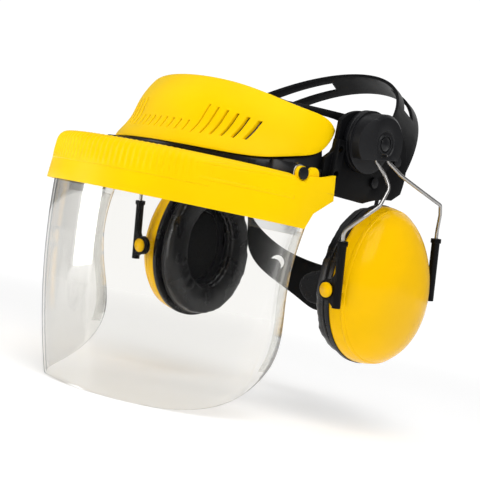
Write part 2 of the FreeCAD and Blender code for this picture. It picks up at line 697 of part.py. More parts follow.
def nape_strap_left():
    """Strap from the side plate, inboard of the muff, to the nape."""
    upper = [Vector(77.4, 10, -15), Vector(76.9, 27, -15.5), Vector(69, 43, -18), Vector(60, 54, -33),
             Vector(56, 63, -55), Vector(48, 75, -66), Vector(36, 84.5, -73), Vector(20, 92.5, -77),
             Vector(6, 95, -78)]
    lower = [Vector(77.4, 10, -28), Vector(76.6, 27, -27.5), Vector(67.5, 44, -27), Vector(57, 56, -43),
             Vector(55, 63, -72), Vector(49.5, 72, -87), Vector(36, 84.5, -97), Vector(18, 93.3, -106),
             Vector(6, 95.5, -109)]
    strap = ribbon(lower, upper, size("strap_thick"))
    axis = Vector(0.4, 1, 0)
    hole = Part.makeCylinder(5.0, 40, Vector(31, 60, -82.5), axis)
    shadow = Part.makeCylinder(5.0, 42, Vector(33.2, 59, -85.5), axis)
    strap = strap.cut(hole.cut(shadow))
    for rivet in rivet_bores():
        strap = strap.cut(rivet)
    return shaped("nape_strap_left", strap)


def ratchet_housing():
    """Box over the strap ends, open towards the head, with a hole for the knob's shaft."""
    body = new_body("ratchet_housing")
    z = size("ratchet_z")
    half, tall = size("house_half"), size("house_tall")
    block = new_sketch(body, "XZ_Plane", offset="-@house_back")
    draw_loop(block, oval(half, tall, (0, z)))
    grow(body, block, "@house_front - @house_back", backwards=True)
    room = new_sketch(body, "XZ_Plane", offset="-@house_back")
    draw_polygon(room, ((-30, z - 8.6), (30, z - 8.6), (30, z + 8.6), (-30, z + 8.6)))
    grow(body, room, "5.2", cut=True)
    bore = new_sketch(body, "XZ_Plane")
    draw_circle(bore, (0, z), "@shaft_radius + 0.06")
    grow(body, bore, "200", cut=True)
    return body


def ratchet_plate():
    """Backing plate that closes the housing on the head side."""
    body = new_body("ratchet_plate")
    z = size("ratchet_z")
    face = new_sketch(body, "XZ_Plane", offset="-@backing_rear")
    draw_loop(face, oval(14, 11, (0, z)))
    grow(body, face, "@backing_thick", backwards=True)


def ratchet_knob():
    body = new_body("ratchet_knob")
    z = size("ratchet_z")
    disc = new_sketch(body, "XZ_Plane", offset="-@house_front - 0.2")
    draw_circle(disc, (0, z), "@knob_radius")
    grow(body, disc, "@knob_depth", backwards=True)
    shaft = new_sketch(body, "XZ_Plane", offset="-@house_back - 0.4")
    draw_circle(shaft, (0, z), "@shaft_radius")
    grow(body, shaft, "@house_front - @house_back + 1", backwards=True)
    for i in range(KNOB_SCALLOPS):
        a = 2 * math.pi * i / KNOB_SCALLOPS
        scallop = new_sketch(body, "XZ_Plane", offset="-@house_front - 1.8")
        reach = size("knob_radius") + 0.5
        draw_circle(scallop, (reach * math.cos(a), z + reach * math.sin(a)), "1.5")
        grow(body, scallop, "20", cut=True)


def ratchet_pinion():
    body = new_body("ratchet_pinion")
    tip, root, z = size("pinion_tip"), size("pinion_root"), size("ratchet_z")
    points = []
    for i in range(PINION_TEETH):
        middle = 2 * math.pi * i / PINION_TEETH + math.pi / 2
        for radius, half in ((root, 0.95), (tip, 0.5), (tip, -0.5), (root, -0.95)):
            a = middle - math.asin(half / radius)
            points.append((radius * math.cos(a), z + radius * math.sin(a)))
    points.reverse()
    face = new_sketch(body, "XZ_Plane", offset="-@house_back - 1.2")
    draw_polygon(face, points)
    draw_circle(face, (0, z), "@shaft_radius + 0.01")
    grow(body, face, "3", backwards=True)


def rack_tongue(label, side):
    """Toothed end of a nape strap: the left one runs above the pinion, the right one below it."""
    body = new_body(label)
    centre = size("ratchet_z")
    pitch = 2 * math.pi * size("pinion_pitch") / PINION_TEETH
    half_gap = size("rack_gap") / 2
    tips, roots = 4.2, 6.3
    points = [(21, 8), (-10, 8), (-10, tips)]
    for i in range(-2, 5):
        middle = pitch * i
        points += [(middle - half_gap, tips), (middle - half_gap, roots),
                   (middle + half_gap, roots), (middle + half_gap, tips)]
    points.append((21, tips))
    face = new_sketch(body, "XZ_Plane", offset="-@house_back - 1.5")
    draw_polygon(face, [(side * x, centre + side * z) for x, z in points])
    grow(body, face, "2.2", backwards=True)


def nape_pad():
    body = new_body("nape_pad")
    z = size("ratchet_z")
    face = new_sketch(body, "XZ_Plane", offset="-@pad_rear")
    draw_loop(face, oval(size("pad_half"), size("pad_tall"), (0, z)))
    grow(body, face, "@pad_thick", backwards=True)


# ------------------------------------------------------------------ build and write

def build():
    forehead_cover()
    forehead_shell()
    front_headband()
    brow_sweatband()
    plate = side_plate_left()
    lefts = [plate, hub_base_left(), hub_left(), hub_rivet_left(), arm_wire_left(),
             sleeve_left("sleeve_front_left", -1), sleeve_left("sleeve_rear_left", 1), cup_shell_left(),
             cup_plate_left(), cushion_left(), cup_foam_left(), screen_clip_left(), visor_pin_left(),
             nape_strap_left(), band_rivets_left()]
    visor_frame()
    visor_screen()
    friction_washers()
    rear_band()
    ratchet_housing()
    ratchet_plate()
    ratchet_knob()
    ratchet_pinion()
    rack_tongue("rack_tongue_left", 1)
    rack_tongue("rack_tongue_right", -1)
    nape_pad()
    doc.recompute()
    for left in lefts:
        mirror_right(left, left.Label.replace("left", "right"))
    doc.recompute()


def write():
    os.makedirs("parts", exist_ok=True)
    for obj in doc.Objects:
        if "Invalid" in obj.State or "Error" in obj.State:
            raise RuntimeError("%s failed: %s" % (obj.Name, obj.State))
    for node in nodes:
        if node.Shape.isNull() or not node.Shape.isValid() or not node.Shape.Solids:
            raise RuntimeError("%s has no valid solid" % node.Label)
    for node in nodes:
        node.Shape.exportStep("parts/%s.step" % node.Label)
        print(node.Label, len(node.Shape.Solids), round(node.Shape.Volume))


build()
write()
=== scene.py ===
"""Looks of a brow guard with a clear visor and ear muffs: finishes, soft parts, floor and light.

Metres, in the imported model's frame: +X is the wearer's left, -Y the front and +Z up.
"""
import json
import math

import bmesh
import bpy
from mathutils import Matrix, Vector
from mathutils.bvhtree import BVHTree

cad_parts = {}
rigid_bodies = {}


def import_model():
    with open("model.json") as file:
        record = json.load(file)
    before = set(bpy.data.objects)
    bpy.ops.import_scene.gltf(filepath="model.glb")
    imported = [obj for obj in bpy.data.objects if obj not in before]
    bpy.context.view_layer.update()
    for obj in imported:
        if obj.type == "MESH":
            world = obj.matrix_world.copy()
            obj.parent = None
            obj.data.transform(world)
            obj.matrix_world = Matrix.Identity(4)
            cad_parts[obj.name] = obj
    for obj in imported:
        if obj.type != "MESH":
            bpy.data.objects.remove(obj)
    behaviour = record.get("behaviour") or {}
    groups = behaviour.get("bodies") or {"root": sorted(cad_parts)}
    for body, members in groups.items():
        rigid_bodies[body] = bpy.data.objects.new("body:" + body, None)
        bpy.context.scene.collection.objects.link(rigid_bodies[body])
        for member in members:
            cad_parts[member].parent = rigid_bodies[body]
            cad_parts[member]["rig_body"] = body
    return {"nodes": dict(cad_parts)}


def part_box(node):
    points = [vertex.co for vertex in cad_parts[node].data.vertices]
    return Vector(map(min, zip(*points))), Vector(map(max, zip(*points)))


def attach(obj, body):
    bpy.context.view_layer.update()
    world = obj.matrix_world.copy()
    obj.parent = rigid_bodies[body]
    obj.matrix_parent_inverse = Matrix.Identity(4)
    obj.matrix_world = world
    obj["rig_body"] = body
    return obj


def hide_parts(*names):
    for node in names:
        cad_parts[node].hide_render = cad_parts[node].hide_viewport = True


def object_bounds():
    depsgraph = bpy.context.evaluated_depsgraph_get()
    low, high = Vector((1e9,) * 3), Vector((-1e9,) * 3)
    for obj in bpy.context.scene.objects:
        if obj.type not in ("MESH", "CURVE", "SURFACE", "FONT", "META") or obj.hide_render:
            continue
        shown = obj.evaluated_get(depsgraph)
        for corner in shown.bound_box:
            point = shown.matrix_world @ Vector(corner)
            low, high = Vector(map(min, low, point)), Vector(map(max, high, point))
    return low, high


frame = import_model()
cad_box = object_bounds()
nodes = frame["nodes"]
MM = 0.001
SIDES = {"left": 1, "right": -1}
OUTSIDE_MUFF = 80 * MM


# ------------------------------------------------------------------ node graphs

class Graph:
    """A material's node tree. Inputs are set by name or as n0, n1, and a socket as a value is linked."""

    def __init__(self, name):
        self.material = bpy.data.materials.new(name)
        self.material.use_nodes = True
        self.tree = self.material.node_tree
        self.tree.nodes.clear()

    def add(self, kind, out=0, options=(), **inputs):
        node = self.tree.nodes.new("ShaderNode" + kind)
        for name, value in dict(options).items():
            setattr(node, name, value)
        for name, value in inputs.items():
            numbered = name[0] == "n" and name[1:].isdigit()
            socket = node.inputs[int(name[1:])] if numbered else node.inputs[name.replace("_", " ")]
            if isinstance(value, bpy.types.NodeSocket):
                self.tree.links.new(value, socket)
            else:
                socket.default_value = value
        return node.outputs[out]

    def place(self):
        return self.add("TexCoord", out="Object")

    def noise(self, place, scale, detail=3.0, roughness=0.5):
        return self.add("TexNoise", Vector=place, Scale=scale, Detail=detail, Roughness=roughness)

    def ramp(self, value, low, high, start=0.0, end=1.0):
        """Value from low..high mapped on to start..end and held there."""
        return self.add("MapRange", Value=value, n1=low, n2=high, n3=start, n4=end)

    def mix(self, share, first, second):
        return self.add("MixRGB", n0=share, n1=first, n2=second)

    def maths(self, operation, first, second=0.0):
        return self.add("Math", options={"operation": operation}, n0=first, n1=second)

    def bump(self, height, strength, distance, normal=None):
        more = {"Normal": normal} if normal else {}
        return self.add("Bump", Height=height, Strength=strength, Distance=distance, **more)

    def edges(self, radius):
        """1 on convex and concave edges, 0 on flat faces."""
        rounded = self.add("Bevel", options={"samples": 4}, Radius=radius)
        flat = self.add("NewGeometry", out="Normal")
        dot = self.add("VectorMath", out="Value", options={"operation": "DOT_PRODUCT"}, n0=rounded, n1=flat)
        return self.ramp(dot, 0.99, 0.85)

    def finish(self, shader):
        output = self.tree.nodes.new("ShaderNodeOutputMaterial")
        self.tree.links.new(shader, output.inputs["Surface"])
        return self.material


def shade(colour, factor):
    return tuple(min(1.0, c * factor) for c in colour[:3]) + (1.0,)


# ------------------------------------------------------------------ materials

def plastic(name, colour, roughness, grain, grain_depth, pale, shine, mottle=0.03, worn=0.15, coat=0.0,
            shine_tint=(1, 1, 1)):
    """Moulded plastic: faint cloudiness, a fine grain of some depth in mm, and edges rubbed paler."""
    g = Graph(name)
    place = g.place()
    cloud = g.noise(place, 26, 4)
    base = g.mix(g.ramp(cloud, 0.35, 0.65), shade(colour, 1 - mottle), shade(colour, 1 + mottle))
    wear = g.maths("MULTIPLY", g.edges(0.5 * MM), g.ramp(g.noise(place, 140, 5), 0.4, 0.65, 0.2, worn * 2))
    base = g.mix(wear, base, shade(tuple(c + 0.02 for c in colour), pale))
    smear = g.noise(place, 60, 5, 0.6)
    rough = g.ramp(smear, 0.35, 0.7, roughness - 0.05, roughness + 0.06)
    scuff = g.ramp(g.noise(g.add("Mapping", Vector=place, Scale=(1, 1, 14)), 160, 6), 0.66, 0.72)
    rough = g.maths("ADD", rough, g.maths("MULTIPLY", scuff, 0.06))
    grainy = g.bump(g.noise(place, grain, 2), 0.25, grain_depth * MM)
    wavy = g.bump(g.noise(place, 38, 2), 0.08, 0.4 * MM, grainy)
    shader = g.add("BsdfPrincipled", Base_Color=base, Roughness=rough, Normal=wavy, Coat_Weight=coat,
                   Coat_Roughness=0.08, Specular_IOR_Level=shine, Specular_Tint=shine_tint + (1,))
    return g.finish(shader)


def steel(name, colour, roughness, streak):
    """Drawn or turned metal with fine streaks and a little tarnish."""
    g = Graph(name)
    place = g.place()
    lines = g.noise(g.add("Mapping", Vector=place, Scale=streak), 300, 4)
    tarnish = g.ramp(g.noise(place, 55, 5), 0.45, 0.75, 0, 0.45)
    base = g.mix(tarnish, shade(colour, 1.0), shade(colour, 0.6))
    rough = g.ramp(lines, 0.3, 0.7, roughness - 0.07, roughness + 0.1)
    shader = g.add("BsdfPrincipled", Base_Color=base, Metallic=1.0, Roughness=rough,
                   Normal=g.bump(lines, 0.15, 0.03 * MM))
    return g.finish(shader)


def clear_sheet(name, tint, grazing_tint_and_shade, gloss, haze):
    """Thin clear plastic: see-through, tinted, darker at grazing angles partly by its tint and partly by
    painted shade, with a painted dark outline at its silhouette and a surface reflection.
    """
    g = Graph(name)
    place = g.place()
    facing = g.add("LayerWeight", out="Facing", Blend=0.5)
    # Darker at grazing angles: partly the tint of the longer path through the sheet, partly painted shade.
    grazing = g.maths("POWER", facing, 18.0)
    colour = g.mix(grazing, tint + (1,), grazing_tint_and_shade + (1,))
    # Painted dark outline along the silhouette: painted shade where the sheet bends light away.
    painted_dark_outline = g.ramp(facing, 0.86, 0.95, 0.0, 0.9)
    colour = g.mix(painted_dark_outline, colour, (0.08, 0.08, 0.085, 1))
    through = g.add("BsdfTransparent", Color=colour)
    smear = g.ramp(g.noise(place, 45, 5, 0.65), 0.5, 0.75, 0.02, 0.10)
    mirror = g.add("BsdfGlossy", Color=(1, 1, 1, 1), Roughness=smear)
    share = g.maths("SUBTRACT", g.maths("MULTIPLY", g.add("Fresnel", IOR=1.45), gloss), 0.032)
    share = g.maths("MINIMUM", share, 0.35)
    sheet = g.add("MixShader", n0=share, n1=through, n2=mirror)
    milk = g.add("BsdfTranslucent", Color=(0.55, 0.55, 0.53, 1))
    dust = g.ramp(g.noise(place, 90, 6, 0.7), 0.5, 0.8, haze * 0.4, haze * 1.6)
    return g.finish(g.add("MixShader", n0=dust, n1=sheet, n2=milk))


def frosted(name):
    """Milled edge of clear sheet: pale grey and half see-through, with fine cutter marks."""
    g = Graph(name)
    place = g.place()
    marks = g.noise(g.add("Mapping", Vector=place, Scale=(1, 1, 0.1)), 900, 3)
    pale = g.add("BsdfPrincipled", Base_Color=(0.78, 0.78, 0.77, 1), Roughness=0.3,
                 Normal=g.bump(marks, 0.3, 0.1 * MM))
    milk = g.add("BsdfTranslucent", Color=(0.85, 0.85, 0.84, 1))
    body = g.add("MixShader", n0=0.5, n1=pale, n2=milk)
    through = g.add("BsdfTransparent", Color=(0.97, 0.97, 0.96, 1))
    return g.finish(g.add("MixShader", n0=g.ramp(marks, 0.3, 0.7, 0.14, 0.24), n1=through, n2=body))


def vinyl(name, colour, roughness):
    """Soft welded film over foam: fine creases and a satin shine."""
    g = Graph(name)
    place = g.place()
    crease = g.add("TexVoronoi", out="Distance", options={"feature": "DISTANCE_TO_EDGE"}, Vector=place,
                   Scale=520)
    fine = g.bump(g.ramp(crease, 0.0, 0.25), 0.22, 0.05 * MM)
    soft = g.bump(g.noise(place, 110, 4), 0.35, 0.5 * MM, fine)
    base = g.mix(g.ramp(g.noise(place, 35, 3), 0.4, 0.7), shade(colour, 0.85), shade(colour, 1.3))
    rough = g.ramp(g.noise(place, 70, 4), 0.35, 0.7, roughness - 0.07, roughness + 0.1)
    shader = g.add("BsdfPrincipled", Base_Color=base, Roughness=rough, Normal=soft, Coat_Weight=0.15,
                   Coat_Roughness=0.15, Specular_IOR_Level=0.35)
    return g.finish(shader)


def foam(name, colour):
    """Open-cell foam: pores in two sizes, painted darker inside as painted shade, and a dry surface."""
    g = Graph(name)
    place = g.place()
    cells = g.add("TexVoronoi", out="Distance", Vector=place, Scale=650)
    pores = g.ramp(cells, 0.0, 0.45)
    # Pores painted darker at their middles: painted shade in their hollows.
    base = g.mix(pores, shade(colour, 0.35), shade(colour, 1.1))
    rough_cells = g.bump(pores, 0.8, 0.5 * MM)
    lumps = g.bump(g.noise(place, 190, 4), 0.4, 0.6 * MM, rough_cells)
    shader = g.add("BsdfPrincipled", Base_Color=base, Roughness=0.95, Normal=lumps, Specular_IOR_Level=0.1)
    return g.finish(shader)


def brushed_cloth(name, colour):
    """Knitted sweatband cloth: a fine rib weave with fuzz, punched with small holes; painted shade in the
    weave's grooves and holes, painted light on its ridges.
    """
    g = Graph(name)
    place = g.place()
    wale, course = (g.add("TexWave", options={"wave_type": "BANDS", "bands_direction": way}, Vector=place,
                          Scale=260, Distortion=1.2, Detail=2.0) for way in "ZX")
    weave = g.maths("MULTIPLY", wale, course)
    grid = g.add("TexVoronoi", out="Distance", options={"feature": "F1"}, Vector=place, Scale=190,
                 Randomness=0.0)
    holes = g.ramp(grid, 0.12, 0.2)
    # Weave painted darker in its grooves and paler on its ridges: painted shade and painted light.
    base = g.mix(weave, shade(colour, 0.6), shade(colour, 1.35))
    # Holes painted near black as painted shade.
    base = g.mix(holes, shade(colour, 0.15), base)
    fuzz = g.bump(g.noise(place, 1500, 3), 0.5, 0.12 * MM)
    knit = g.bump(weave, 0.6, 0.25 * MM, fuzz)
    punched = g.bump(holes, 0.8, 0.6 * MM, knit)
    shader = g.add("BsdfPrincipled", Base_Color=base, Roughness=0.9, Normal=punched, Sheen_Weight=0.12,
                   Specular_IOR_Level=0.2)
    return g.finish(shader)


COVER_YELLOW = (0.96, 0.62, 0.001)
CUP_YELLOW = (0.97, 0.55, 0.001)
YELLOW_SHINE = (1, 0.85, 0.25)
BLACK = (0.005, 0.0052, 0.0065)
DULL_BLACK = (0.0028, 0.0029, 0.0034)
VINYL_BLACK = (0.004, 0.0042, 0.0055)
FOAM_BLACK = (0.006, 0.0062, 0.007)
CLOTH_BLACK = (0.010, 0.0105, 0.012)
MATERIALS = {
    "yellow": plastic("cover_yellow", COVER_YELLOW, 0.36, grain=2200, grain_depth=0.03, pale=1.05,
                      shine=0.12, shine_tint=YELLOW_SHINE),
    "cup": plastic("cup_yellow", CUP_YELLOW, 0.17, grain=900, grain_depth=0.006, pale=1.05, shine=0.16,
                   coat=0.05, shine_tint=YELLOW_SHINE),
    "black": plastic("satin_black", BLACK, 0.40, grain=1800, grain_depth=0.05, pale=2.6, shine=0.26,
                     mottle=0.15),
    "matt": plastic("matt_black", DULL_BLACK, 0.42, grain=1500, grain_depth=0.06, pale=2.4, shine=0.09,
                    mottle=0.2),
    "gloss": plastic("gloss_black", BLACK, 0.30, grain=2600, grain_depth=0.02, pale=2.0, shine=0.3,
                     mottle=0.15),
    "wire": steel("drawn_steel", (0.42, 0.41, 0.40), 0.30, streak=(1, 1, 0.05)),
    "rivet": steel("turned_steel", (0.55, 0.55, 0.56), 0.30, streak=(1, 1, 1)),
    "screen": clear_sheet("clear_screen", (0.945, 0.940, 0.925), (0.45, 0.45, 0.46), gloss=1.0,
                          haze=0.0015),
    "clip": clear_sheet("clear_clip", (0.93, 0.935, 0.94), (0.5, 0.51, 0.53), gloss=1.3, haze=0.07),
    "cushion": vinyl("cushion_vinyl", VINYL_BLACK, 0.30),
    "foam": foam("cup_foam", FOAM_BLACK),
    "cloth": brushed_cloth("sweatband_cloth", CLOTH_BLACK),
    "edge": frosted("screen_edge"),
}
FINISH = {
    "forehead_cover": "yellow", "visor_frame": "yellow", "cup_shell": "cup", "forehead_shell": "gloss",
    "visor_screen": "screen", "screen_clip": "clip", "arm_wire": "wire", "hub_rivet": "gloss",
    "band_rivets": "black", "friction_washers": "rivet", "cushion": "cushion", "cup_foam": "foam",
    "brow_sweatband": "cloth", "nape_pad": "cloth", "cup_plate": "gloss", "hub": "black",
    "ratchet_pinion": "black", "side_plate": "matt", "rear_band": "matt", "nape_strap": "matt",
    "sleeve_front": "matt", "sleeve_rear": "matt", "front_headband": "matt", "ratchet_housing": "matt",
}
EDGE_RADIUS = {"forehead_cover": 0.5, "visor_frame": 0.6, "visor_screen": 0.0, "arm_wire": 0.0,
               "screen_clip": 0.25, "cup_shell": 0.0, "rear_band": 0.5, "nape_strap": 0.5}


def stem(name):
    """A node's name without its side."""
    return name[:-5] if name.endswith("_left") else name[:-6] if name.endswith("_right") else name


def dress(obj, key):
    obj.data.materials.clear()
    obj.data.materials.append(MATERIALS[key])


def dress_cad_nodes():
    """Finish for each CAD node, with softly rounded edges."""
    for name, obj in nodes.items():
        dress(obj, FINISH.get(stem(name), "black"))
        weld = obj.modifiers.new("Weld", "WELD")
        weld.merge_threshold = 0.01 * MM
        radius = EDGE_RADIUS.get(stem(name), 0.35)
        if radius:
            bevel = obj.modifiers.new("Bevel", "BEVEL")
            bevel.width = radius * MM
            bevel.segments = 2
            bevel.limit_method = "ANGLE"
            bevel.angle_limit = math.radians(32)
            bevel.harden_normals = False
        for face in obj.data.polygons:
            face.use_smooth = True


# ------------------------------------------------------------------ soft parts

def baked(obj, name):
    """New object with obj's mesh after its modifiers."""
    graph = bpy.context.evaluated_depsgraph_get()
    mesh = bpy.data.meshes.new_from_object(obj.evaluated_get(graph))
    result = bpy.data.objects.new(name, mesh)
    bpy.context.scene.collection.objects.link(result)
    return result


def drop(obj):
    bpy.data.objects.remove(obj, do_unlink=True)


def voxel_copy(source, name, voxel):
    """Even, closed mesh of a CAD node, ready for cloth."""
    rough = bpy.data.objects.new("rough", source.data.copy())
    bpy.context.scene.collection.objects.link(rough)
    remesh = rough.modifiers.new("Remesh", "REMESH")
    remesh.mode = "VOXEL"
    remesh.voxel_size = voxel
    smooth = rough.modifiers.new("Smooth", "SMOOTH")
    smooth.factor = 0.5
    smooth.iterations = 6
    bpy.context.view_layer.update()
    even = baked(rough, name)
    drop(rough)
    return even


def puff(obj, pressure, cap):
    """Swells obj by cloth pressure, each point by cap at most, and returns the result."""
    rest = [v.co.copy() for v in obj.data.vertices]
    cloth = obj.modifiers.new("Cloth", "CLOTH")
    cloth.settings.use_pressure = True
    cloth.settings.uniform_pressure_force = pressure
    cloth.settings.effector_weights.gravity = 0
    cloth.settings.mass = 0.2
    cloth.settings.quality = 5
    for step in range(1, 21):
        bpy.context.scene.frame_set(step)
    name = obj.name
    obj.name = "before_" + name
    swollen = baked(obj, name)
    bpy.context.scene.frame_set(1)
    drop(obj)
    for vertex, start in zip(swollen.data.vertices, rest):
        move = vertex.co - start
        if move.length > cap:
            vertex.co = start + move.normalized() * cap
    return swollen


def soft_piece(node_name, label, key, voxel, pressure, cap, dent=None):
    """Soft stand-in for a CAD node: remeshed, swollen by cloth, dented by dent(place) and smoothed."""
    source = nodes[node_name]
    piece = puff(voxel_copy(source, label, voxel * MM), pressure, cap * MM)
    if dent:
        dents = [v.normal * dent(v.co) for v in piece.data.vertices]
        for vertex, move in zip(piece.data.vertices, dents):
            vertex.co -= move
    for face in piece.data.polygons:
        face.use_smooth = True
    fine = piece.modifiers.new("Subdivision", "SUBSURF")
    fine.levels = 1
    fine.render_levels = 1
    dress(piece, key)
    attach(piece, source["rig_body"])
    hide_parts(node_name)
    return piece


def groove(offset, half_width, depth):
    """Depth of a rounded groove at an offset from its middle."""
    return depth * (1 - smooth_step(abs(offset), 0, half_width))


def sewn_channels(place):
    """Upright rows of stitching along the sweatband, about every 16 mm, and one row along its middle."""
    low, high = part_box("brow_sweatband")
    turn = math.degrees(math.atan2(place.x, -place.y))
    spacing = 15.0
    away = (turn / spacing - round(turn / spacing)) * spacing * MM
    middle = place.z - (low.z + high.z) / 2
    return max(groove(away, 2.4 * MM, 1.1 * MM), groove(middle, 2.6 * MM, 0.7 * MM))


def gathers(side):
    """Small radial creases where the cushion's film is drawn into its hole."""
    low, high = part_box("cushion_" + side)
    centre = (low + high) / 2
    creases = 26

    def dent(place):
        y, z = place.y - centre.y, place.z - centre.z
        ring = math.hypot(y * 1.35, z)
        near = 1 - smooth_step(ring, 27 * MM, 39 * MM)
        a = math.atan2(y, z)
        wave = 0.5 + 0.5 * math.cos(creases * a + 1.7 * math.sin(3 * a))
        return 0.75 * MM * near * wave

    return dent


def cushion_welds(side, cushion):
    """Welded bead round the cushion's outer wall, and one inside its hole."""
    low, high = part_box("cushion_" + side)
    near, far = sorted((abs(low.x), abs(high.x)))
    surface = surface_of(cushion)
    for label, share in (("outer", 0.62), ("inner", 0.4)):
        ring_bead("cushion_weld_%s_%s" % (label, side), "cushion", side, surface, (low + high) / 2,
                  SIDES[side] * (near + (far - near) * share), 0.9 * MM, (0.05, 0.6), 0.5 * MM,
                  rows=160, inwards=label == "outer")


def soft_parts():
    for side in SIDES:
        label = "ear_cushion_" + side
        cushion = soft_piece("cushion_" + side, label, "cushion", 2.2, 4, 2.5, gathers(side))
        cushion_welds(side, cushion)
        soft_piece("cup_foam_" + side, "foam_liner_" + side, "foam", 3.0, 2, 1.0)
    soft_piece("brow_sweatband", "padded_sweatband", "cloth", 2.6, 3, 2.0, sewn_channels)
    soft_piece("nape_pad", "padded_nape", "cloth", 2.0, 3, 2.0)


# ------------------------------------------------------------------ moulded details on the CAD surfaces

def surface_of(obj):
    """Search tree over the surface of an object that sits at the origin."""
    points = [v.co.copy() for v in obj.data.vertices]
    return BVHTree.FromPolygons(points, [tuple(face.vertices) for face in obj.data.polygons])


def solid_sheet(name, outer, inner, ring=False):
    """Closed solid between two grids of points with the same rows and columns; a ring joins its last row
    to its first."""
    rows, columns = len(outer), len(outer[0])
    mesh = bmesh.new()
    grids = [[[mesh.verts.new(p) for p in row] for row in grid] for grid in (outer, inner)]
    steps = rows if ring else rows - 1
    for side, grid in enumerate(grids):
        for i in range(steps):
            for j in range(columns - 1):
                a, b = grid[i], grid[(i + 1) % rows]
                quad = (a[j], b[j], b[j + 1], a[j + 1])
                mesh.faces.new(quad if side == 0 else quad[::-1])
    for i in range(steps):
        k = (i + 1) % rows
        for j in (0, columns - 1):
            quad = (grids[0][i][j], grids[1][i][j], grids[1][k][j], grids[0][k][j])
            mesh.faces.new(quad if j == 0 else quad[::-1])
    if not ring:
        for j in range(columns - 1):
            for i in (0, rows - 1):
                quad = (grids[0][i][j], grids[0][i][j + 1], grids[1][i][j + 1], grids[1][i][j])
                mesh.faces.new(quad if i == 0 else quad[::-1])
    bmesh.ops.recalc_face_normals(mesh, faces=mesh.faces)
    data = bpy.data.meshes.new(name)
    mesh.to_mesh(data)
    mesh.free()
    for face in data.polygons:
        face.use_smooth = True
    piece = bpy.data.objects.new(name, data)
    bpy.context.scene.collection.objects.link(piece)
    return piece


def smooth_step(value, low, high):
    t = min(1.0, max(0.0, (value - low) / (high - low)))
    return t * t * (3 - 2 * t)


def raised(name, key, body, rays, surface, height, sunk=0.25 * MM, ring=False):
    """Thin solid on a surface: each ray that hits gives a point, lifted by height(row, column)."""
    outer, inner = [], []
    for i, row in enumerate(rays):
        outer.append([])
        inner.append([])
        for j, (origin, direction) in enumerate(row):
            place, normal, _, _ = surface.ray_cast(origin, direction)
            if place is None:
                raise ValueError("%s: ray %d, %d missed" % (name, i, j))
            if normal.dot(direction) > 0:
                normal = -normal
            outer[-1].append(place + normal * height(i, j))
            inner[-1].append(place - normal * sunk)
    piece = solid_sheet(name, outer, inner, ring)
    dress(piece, key)
    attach(piece, body)
    return piece


def frame_ribs():
    """Fine upright ribs over the rounded top corner at the front of the visor frame."""
    low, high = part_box("visor_frame")
    surface = surface_of(nodes["visor_frame"])
    rows, columns = 520, 22
    pitch, half_turn, first_lean, last_lean = 2.4, 50.0, 2.0, 78.0
    core_radius, core_height = high.x - 13 * MM, high.z - 24 * MM
    start_away = 40 * MM

    def turn_of(i):
        return half_turn * (2 * i / (rows - 1) - 1)

    rays = []
    for i in range(rows):
        a = math.radians(turn_of(i))
        outwards = Vector((math.sin(a), -math.cos(a), 0))
        core = Vector((0, low.y + high.x, core_height)) + outwards * core_radius
        row = []
        for j in range(columns):
            lean = math.radians(first_lean + (last_lean - first_lean) * j / (columns - 1))
            aim = outwards * math.cos(lean) + Vector((0, 0, math.sin(lean)))
            row.append((core + aim * start_away, -aim))
        rays.append(row)

    def height(i, j):
        turn = turn_of(i)
        ridge = 0.5 + 0.5 * math.cos(2 * math.pi * turn / pitch)
        across = smooth_step(j, 0, 7) * (1 - smooth_step(j, columns - 5, columns - 1))
        along = 1 - smooth_step(abs(turn), half_turn * 0.6, half_turn)
        return (0.05 + 0.5 * ridge * across * along) * MM

    raised("visor_frame_ribs", "yellow", "visor", rays, surface, height)


def frame_beads():
    """Two faint moulded lines along each side of the visor frame, fading at both ends."""
    low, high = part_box("visor_frame")
    surface = surface_of(nodes["visor_frame"])
    middle = Vector((0, low.y + high.x, 0))
    rows, columns, half_width = 90, 7, 1.0 * MM
    front_turn, rear_turn = 48.0, 7.0

    def height(i, j):
        fade = smooth_step(i, 0, 18) * (1 - smooth_step(i, rows - 16, rows - 1))
        return (0.03 + 0.28 * math.sin(math.pi * j / (columns - 1)) * fade) * MM

    for side, sign in SIDES.items():
        for label, drop_front, drop_rear in (("upper", 11.2, 8.2), ("lower", 19.6, 19.0)):
            rays = []
            for i in range(rows):
                share = i / (rows - 1)
                a = math.radians(front_turn + (rear_turn - front_turn) * share)
                outwards = Vector((sign * math.cos(a), -math.sin(a), 0))
                drop_here = (drop_front + (drop_rear - drop_front) * share) * MM
                row = []
                for j in range(columns):
                    z = high.z - drop_here + half_width * (2 * j / (columns - 1) - 1)
                    row.append((middle + outwards * high.x * 1.3 + Vector((0, 0, z)), -outwards))
                rays.append(row)
            name = "visor_frame_bead_%s_%s" % (label, side)
            raised(name, "yellow", "visor", rays, surface, height, 0.15 * MM)


